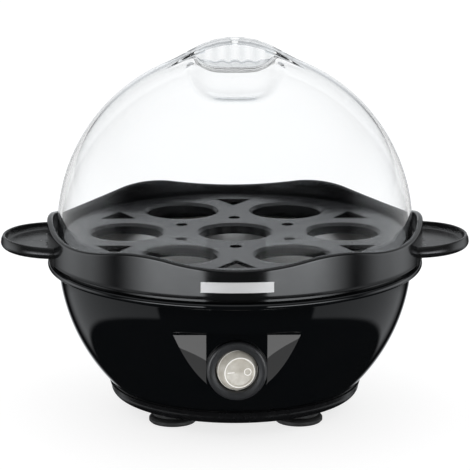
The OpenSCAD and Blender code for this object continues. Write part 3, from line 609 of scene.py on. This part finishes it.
BEZEL_R, CAVITY_R, CAVITY_BACK, BODY_R, BODY_BACK = switch_high[0], 8.75, -10.0, 9.9, -SWITCH_SEAT - switch_high[1]
PIVOT, ROCKER_R, ROCKER_FACE_R, ROCKER_FACE = -SWITCH_SEAT - rocker_joint["pos_m"][1] / MM, 8.3, 6.3, 5.4
ROCKER_REST = math.radians(rocker_joint["range_deg"][1] / 2)


def at_switch(x, y, z):
    """A point given from the bezel's seat, z outwards."""
    return x, -SWITCH_SEAT - z, SWITCH_Z + y


def on_rocker(x, y, z):
    """A point given from the rocker's pivot, tilted with the rocker at rest."""
    c, q = math.cos(ROCKER_REST), math.sin(ROCKER_REST)
    return at_switch(x * c + z * q, y, PIVOT + z * c - x * q)


def make_switch_cup():
    """The fixed part of the round switch: a cup with a rounded bezel, and two ears behind it."""
    cup = [(0, BODY_BACK), (BODY_R - 0.4, BODY_BACK), (BODY_R, BODY_BACK + 0.4), (BODY_R, 0), (BEZEL_R - 0.3, 0)]
    cup += [(BEZEL_R, 0.3), *arc((BEZEL_R - 1.2, BEZEL_OUT - 1.2), 1.2, 0, 84, 9)]
    cup += [(9.7, BEZEL_OUT - 0.12), *arc((CAVITY_R + 0.6, BEZEL_OUT - 0.8), 0.6, 80, 180, 6)]
    cup += [(CAVITY_R, CAVITY_BACK), (0, CAVITY_BACK)]
    ears = [moved(sector(9.2, 11, -12.4, -9.8, middle, 14, 8), at_switch) for middle in (0, 180)]
    verts, faces = together(moved(turned(cup, 128), at_switch), *ears)
    solid("switch_cup", verts, faces, "switch_black", "base", ["switch_body"])


def make_rocker():
    """The clear rocker: a conical cap with a shallow dished face, its post and its pivot pin."""
    face_r, top, pin_half = ROCKER_FACE_R, ROCKER_FACE, 9.3
    cap = [(0, -1.5), (ROCKER_R - 0.3, -1.5), (ROCKER_R, -1.2), (ROCKER_R, 1.2), (ROCKER_R - 0.12, 1.6)]
    cap += [(face_r + 0.15, top - 0.7), *arc((face_r - 0.35, top - 0.4), 0.4, -10, 170, 9)]
    cap += [(face_r - 0.85, top - 0.68), (3.5, top - 0.82), (1.5, top - 0.88), (0, top - 0.9)]
    post = [(0, -5), (1.7, -5), (2, -4.7), (2, -1), (0, -1)]
    pin = [(0, -pin_half), (0.8, -pin_half), (0.9, 0.1 - pin_half)]
    pin += [(r, -z) for r, z in reversed(pin)]
    lying_pin = moved(turned(pin, 32), lambda x, y, z: (x, z, y))
    verts, faces = together(turned(cap, 128), turned(post, 48), lying_pin)
    solid("rocker_cap", [on_rocker(*p) for p in verts], faces, "rocker_clear", "rocker", ["switch_rocker"])


def make_rocker_print_and_glints():
    """The raised O and I on the rocker's face, and pale rings round its face and foot as painted highlights."""
    top, mark_x = ROCKER_FACE, 3.4
    # The white O and I are real print that glows a little in the mark finish, a painted glow
    ring = moved(torus(1.6, 0, 0.22, 10, 48), lambda x, y, z: (mark_x + x * 0.86, y * 0.86, top - 0.74 + z))
    bar = moved(turned([(0, -1.5), (0.16, -1.42), (0.22, -1.25), (0.22, 1.25), (0.16, 1.42), (0, 1.5)], 20),
                lambda x, y, z: (z - mark_x - 0.1, y, top - 0.8 + x))
    # Painted highlights: pale glowing rings along the rims of the face and the foot
    face_rim_glint = torus(ROCKER_FACE_R - 0.3, top - 0.34, 0.34, 14, 128)
    foot_rim_glint = torus(ROCKER_R - 0.28, 1.42, 0.26, 12, 128)
    verts, faces = together(ring, bar, face_rim_glint, foot_rim_glint)
    solid("rocker_print_and_glints", [on_rocker(*p) for p in verts], faces, "rocker_clear", "rocker", look="mark_white")


# ---------------------------------------------------------------- lid

DOME_R, DOME_Z, LID_WALL, LID_FOOT = lid_high[0], 77.7, 1.6, lid_low[2]
GRIP_HALF, GRIP_TOP, GRIP_ARC = 6.0, lid_high[2], 33.2
SCOOP_R, SCOOP_Y, SCOOP_Z, SCOOP_HALF = 45.0, 28.3, 184.3, 18.7
FLUTES, FLUTE_R, FLUTE_DEPTH, FLUTE_PITCH = 7, 3.6, 0.9, 5.6
LID_EYE = 118.0
VENT_R, VENT_CELLS = 2.0, (4, 2)


def lid_field(x, y, z, fluted):
    """Roughly how far a point is outside the lid's outer form: dome, arched grip, two scoops, flutes."""
    ahead = np.abs(y)
    dome = np.where(z > DOME_Z, np.sqrt(x ** 2 + y ** 2 + (z - DOME_Z) ** 2), np.hypot(x, y)) - DOME_R
    grip = -soft_min(GRIP_HALF - ahead, GRIP_ARC - np.hypot(x, z - (GRIP_TOP - GRIP_ARC)), 1.6)
    form = soft_min(dome, grip, 3.4)
    # A scoop's floor is a ball's underside that rises at its ends; its edge is crisp by the grip, round beyond
    end_rise = 7.5 * (x / SCOOP_HALF) ** 4
    floor = SCOOP_Z - np.sqrt(np.maximum(SCOOP_R ** 2 - (ahead - SCOOP_Y) ** 2, 1.0)) + end_rise
    scoop = soft_min(z - floor, ahead - GRIP_HALF, 3.6)
    form = -soft_min(-form, -scoop, 1.4 + 4.5 * smoothstep((ahead - 9) / 8))
    if fluted:
        # Each flute is an upright round groove, which fades in above the floor and ends past the last flute
        nearest = np.abs((x / FLUTE_PITCH + 0.5) % 1 - 0.5) * FLUTE_PITCH
        flute = FLUTE_R - np.hypot(nearest, ahead - (GRIP_HALF + FLUTE_R - FLUTE_DEPTH))
        reach = soft_min((z - floor - 4.2) * 0.16, (FLUTES / 2) * FLUTE_PITCH - np.abs(x), 1.6)
        form = -soft_min(-form, -soft_min(flute, reach, 1.0), 0.9)
    return form


def lid_surface(dx, dy, dz, inset):
    """Distance from the lid's eye along each ray to the outer form (inset 0) or to the inner wall."""
    near, far = np.full(dx.shape, 12.0), np.full(dx.shape, 120.0)
    for _ in range(34):
        middle = (near + far) / 2
        outside = lid_field(middle * dx, middle * dy, LID_EYE + middle * dz, inset == 0) + inset > 0
        far, near = np.where(outside, middle, far), np.where(outside, near, middle)
    return (near + far) / 2


def stations(*spans):
    """Evenly spaced values over spans of (start, end, count), mirrored about zero."""
    half = np.concatenate([np.linspace(a, b, n, endpoint=False) for a, b, n in spans] + [[spans[-1][1]]])
    return np.concatenate([-half[::-1], half[1:]]) / half[-1]


def lid_shell(inset):
    """One surface of the lid: its points, its faces, and the point numbers round its foot and round its vent."""
    # The crown is a square grid wrapped over every direction within this many degrees of straight up
    widest = 80.0
    across = stations((0, 40, 56), (40, widest, 22))
    along = stations((0, 7, 5), (7, 15, 30), (15, 66, 44), (66, widest, 8))
    u, v = np.meshgrid(across, along, indexing="ij")
    px, py = u * np.sqrt(1 - v ** 2 / 2), v * np.sqrt(1 - u ** 2 / 2)
    rows, columns = u.shape

    # The grid's outer edge, once round, which the side hangs from
    edge = [(i, 0) for i in range(rows)] + [(rows - 1, j) for j in range(1, columns)]
    edge += [(i, columns - 1) for i in range(rows - 2, -1, -1)] + [(0, j) for j in range(columns - 2, 0, -1)]
    ex = np.array([px[k] for k in edge])
    ey = np.array([py[k] for k in edge])
    lowest = 90 + math.degrees(math.atan((LID_EYE - DOME_Z) / DOME_R))

    def points(qx, qy, theta):
        turn = np.arctan2(qy, qx)
        dx, dy, dz = np.sin(theta) * np.cos(turn), np.sin(theta) * np.sin(turn), np.cos(theta)
        reach = lid_surface(dx, dy, dz, inset)
        return np.stack([reach * dx, reach * dy, LID_EYE + reach * dz], -1)

    crown = points(px, py, np.radians(widest) * np.hypot(px, py)).reshape(-1, 3)

    # The vent is a block of cells left out in the middle, its border drawn into a circle
    ic, jc = rows // 2, columns // 2
    a, b = VENT_CELLS
    vent = [(ic + k, jc - b) for k in range(-a, a)] + [(ic + a, jc + k) for k in range(-b, b)]
    vent += [(ic - k, jc + b) for k in range(-a, a)] + [(ic - a, jc - k) for k in range(-b, b)]
    vent = [i * columns + j for i, j in vent]
    for k in vent:
        crown[k, :2] *= VENT_R / np.hypot(*crown[k, :2])
    faces = [face for n, face in enumerate(grid_faces(rows, columns, False, False))
             if not (ic - a <= n // (columns - 1) < ic + a and jc - b <= n % (columns - 1) < jc + b)]

    # The side is made of rings from the grid's edge down to the foot
    rings = [points(ex, ey, np.full(ex.shape, math.radians(t))) for t in np.linspace(widest, lowest, 22)[1:]]
    turn = np.arctan2(ey, ex)
    wall = DOME_R - inset
    for r, z in ((wall, LID_FOOT + 2.6), (wall, LID_FOOT + 0.4), (wall + (-0.3 if inset == 0 else 0.3), LID_FOOT)):
        rings.append(np.stack([r * np.cos(turn), r * np.sin(turn), np.full(turn.shape, z)], -1))
    count = len(edge)
    first = [i * columns + j for i, j in edge]
    start = rows * columns
    for k in range(len(rings)):
        upper = first if k == 0 else [start + (k - 1) * count + n for n in range(count)]
        lower = [start + k * count + n for n in range(count)]
        faces += [(upper[n], upper[(n + 1) % count], lower[(n + 1) % count], lower[n]) for n in range(count)]
    return np.concatenate([crown] + rings), faces, lower, vent


def make_lid():
    """The clear dome as one closed shell, its outer and inner surfaces joined round the foot and the vent."""
    outer, outer_faces, *outer_loops = lid_shell(0)
    inner, inner_faces, *inner_loops = lid_shell(LID_WALL)
    base = len(outer)
    faces = outer_faces + [tuple(base + k for k in face[::-1]) for face in inner_faces]
    for above, below in zip(outer_loops, inner_loops):
        count = len(above)
        faces += [(above[n], above[(n + 1) % count], base + below[(n + 1) % count], base + below[n])
                  for n in range(count)]
    lid = solid("clear_dome", np.concatenate([outer, inner]), faces, "clear_lid", "lid", ["lid_dome"], crease=60)
    lid.visible_shadow = False


# ---------------------------------------------------------------- the scene

def add_panel_sheets(name, side, near_z, far_z):
    """Two glowing sheets that only the switch panel mirrors: a bright one over a dim one, parted by a slant.

    Each point of a sheet lies along the reflection of the camera's ray off a point of the panel.
    """
    reach, sheet_low, sheet_high = 6, 21.5, 48.3
    for part, radiance in (("upper", 3.1), ("lower", 0.95)):
        verts = []
        for across in np.linspace(0, 1, 16):
            slant = near_z + (far_z - near_z) * across
            low, high = (slant, sheet_high) if part == "upper" else (sheet_low, slant)
            for z in np.linspace(low, high, 16):
                lean = math.asin((PANEL_ARC_Z - z) / PANEL_ARC)
                down = 2 * lean + CAMERA_RISE
                y = math.sqrt(PANEL_ARC ** 2 - (z - PANEL_ARC_Z) ** 2) - PANEL_ARC_Y
                half = math.sqrt(max(bowl_r(z) ** 2 - y ** 2, (BOSS_R + 0.1) ** 2))
                x = BOSS_R + (half - BOSS_R - 0.4) * across
                verts.append((side * max(x, BOSS_R), -y - reach * math.cos(down), z - reach * math.sin(down)))
        mesh = bpy.data.meshes.new(name + part)
        mesh.from_pydata((np.asarray(verts) * MM).tolist(), [], grid_faces(16, 16, False, False))
        sheet = bpy.data.objects.new(name + part, mesh)
        bpy.context.scene.collection.objects.link(sheet)
        mesh.materials.append(surface(
            name + part, (0.5, 0.5, 0.5), (0.47, 0.47, 0.47), patch=30 * MM, rough=(0.7, 0.8), bump=0.001 * MM,
            emission=2 * radiance))
        sheet.visible_camera = sheet.visible_diffuse = sheet.visible_transmission = sheet.visible_shadow = False


def main():
    scene = bpy.context.scene
    scene.view_settings.view_transform = "Standard"
    add_camera()
    add_world()
    add_floor()
    # Painted shade in bands down the lid's fluted grip
    paint_flute_shade(LOOKS["clear_lid"])
    dress_nodes(LOOKS)
    make_bowl()
    make_collar()
    make_lid()
    make_switch_cup()
    make_rocker()
    # The rocker's print with a painted glow, and painted highlights round its rims
    make_rocker_print_and_glints()
    make_handle(1, "handle_right_grip")
    make_handle(-1, "handle_left_grip")
    add_panel_sheets("panel_glow_left_", -1, 37, 43)
    add_panel_sheets("panel_glow_right_", 1, 38, 47)


LOOKS = finishes()
main()
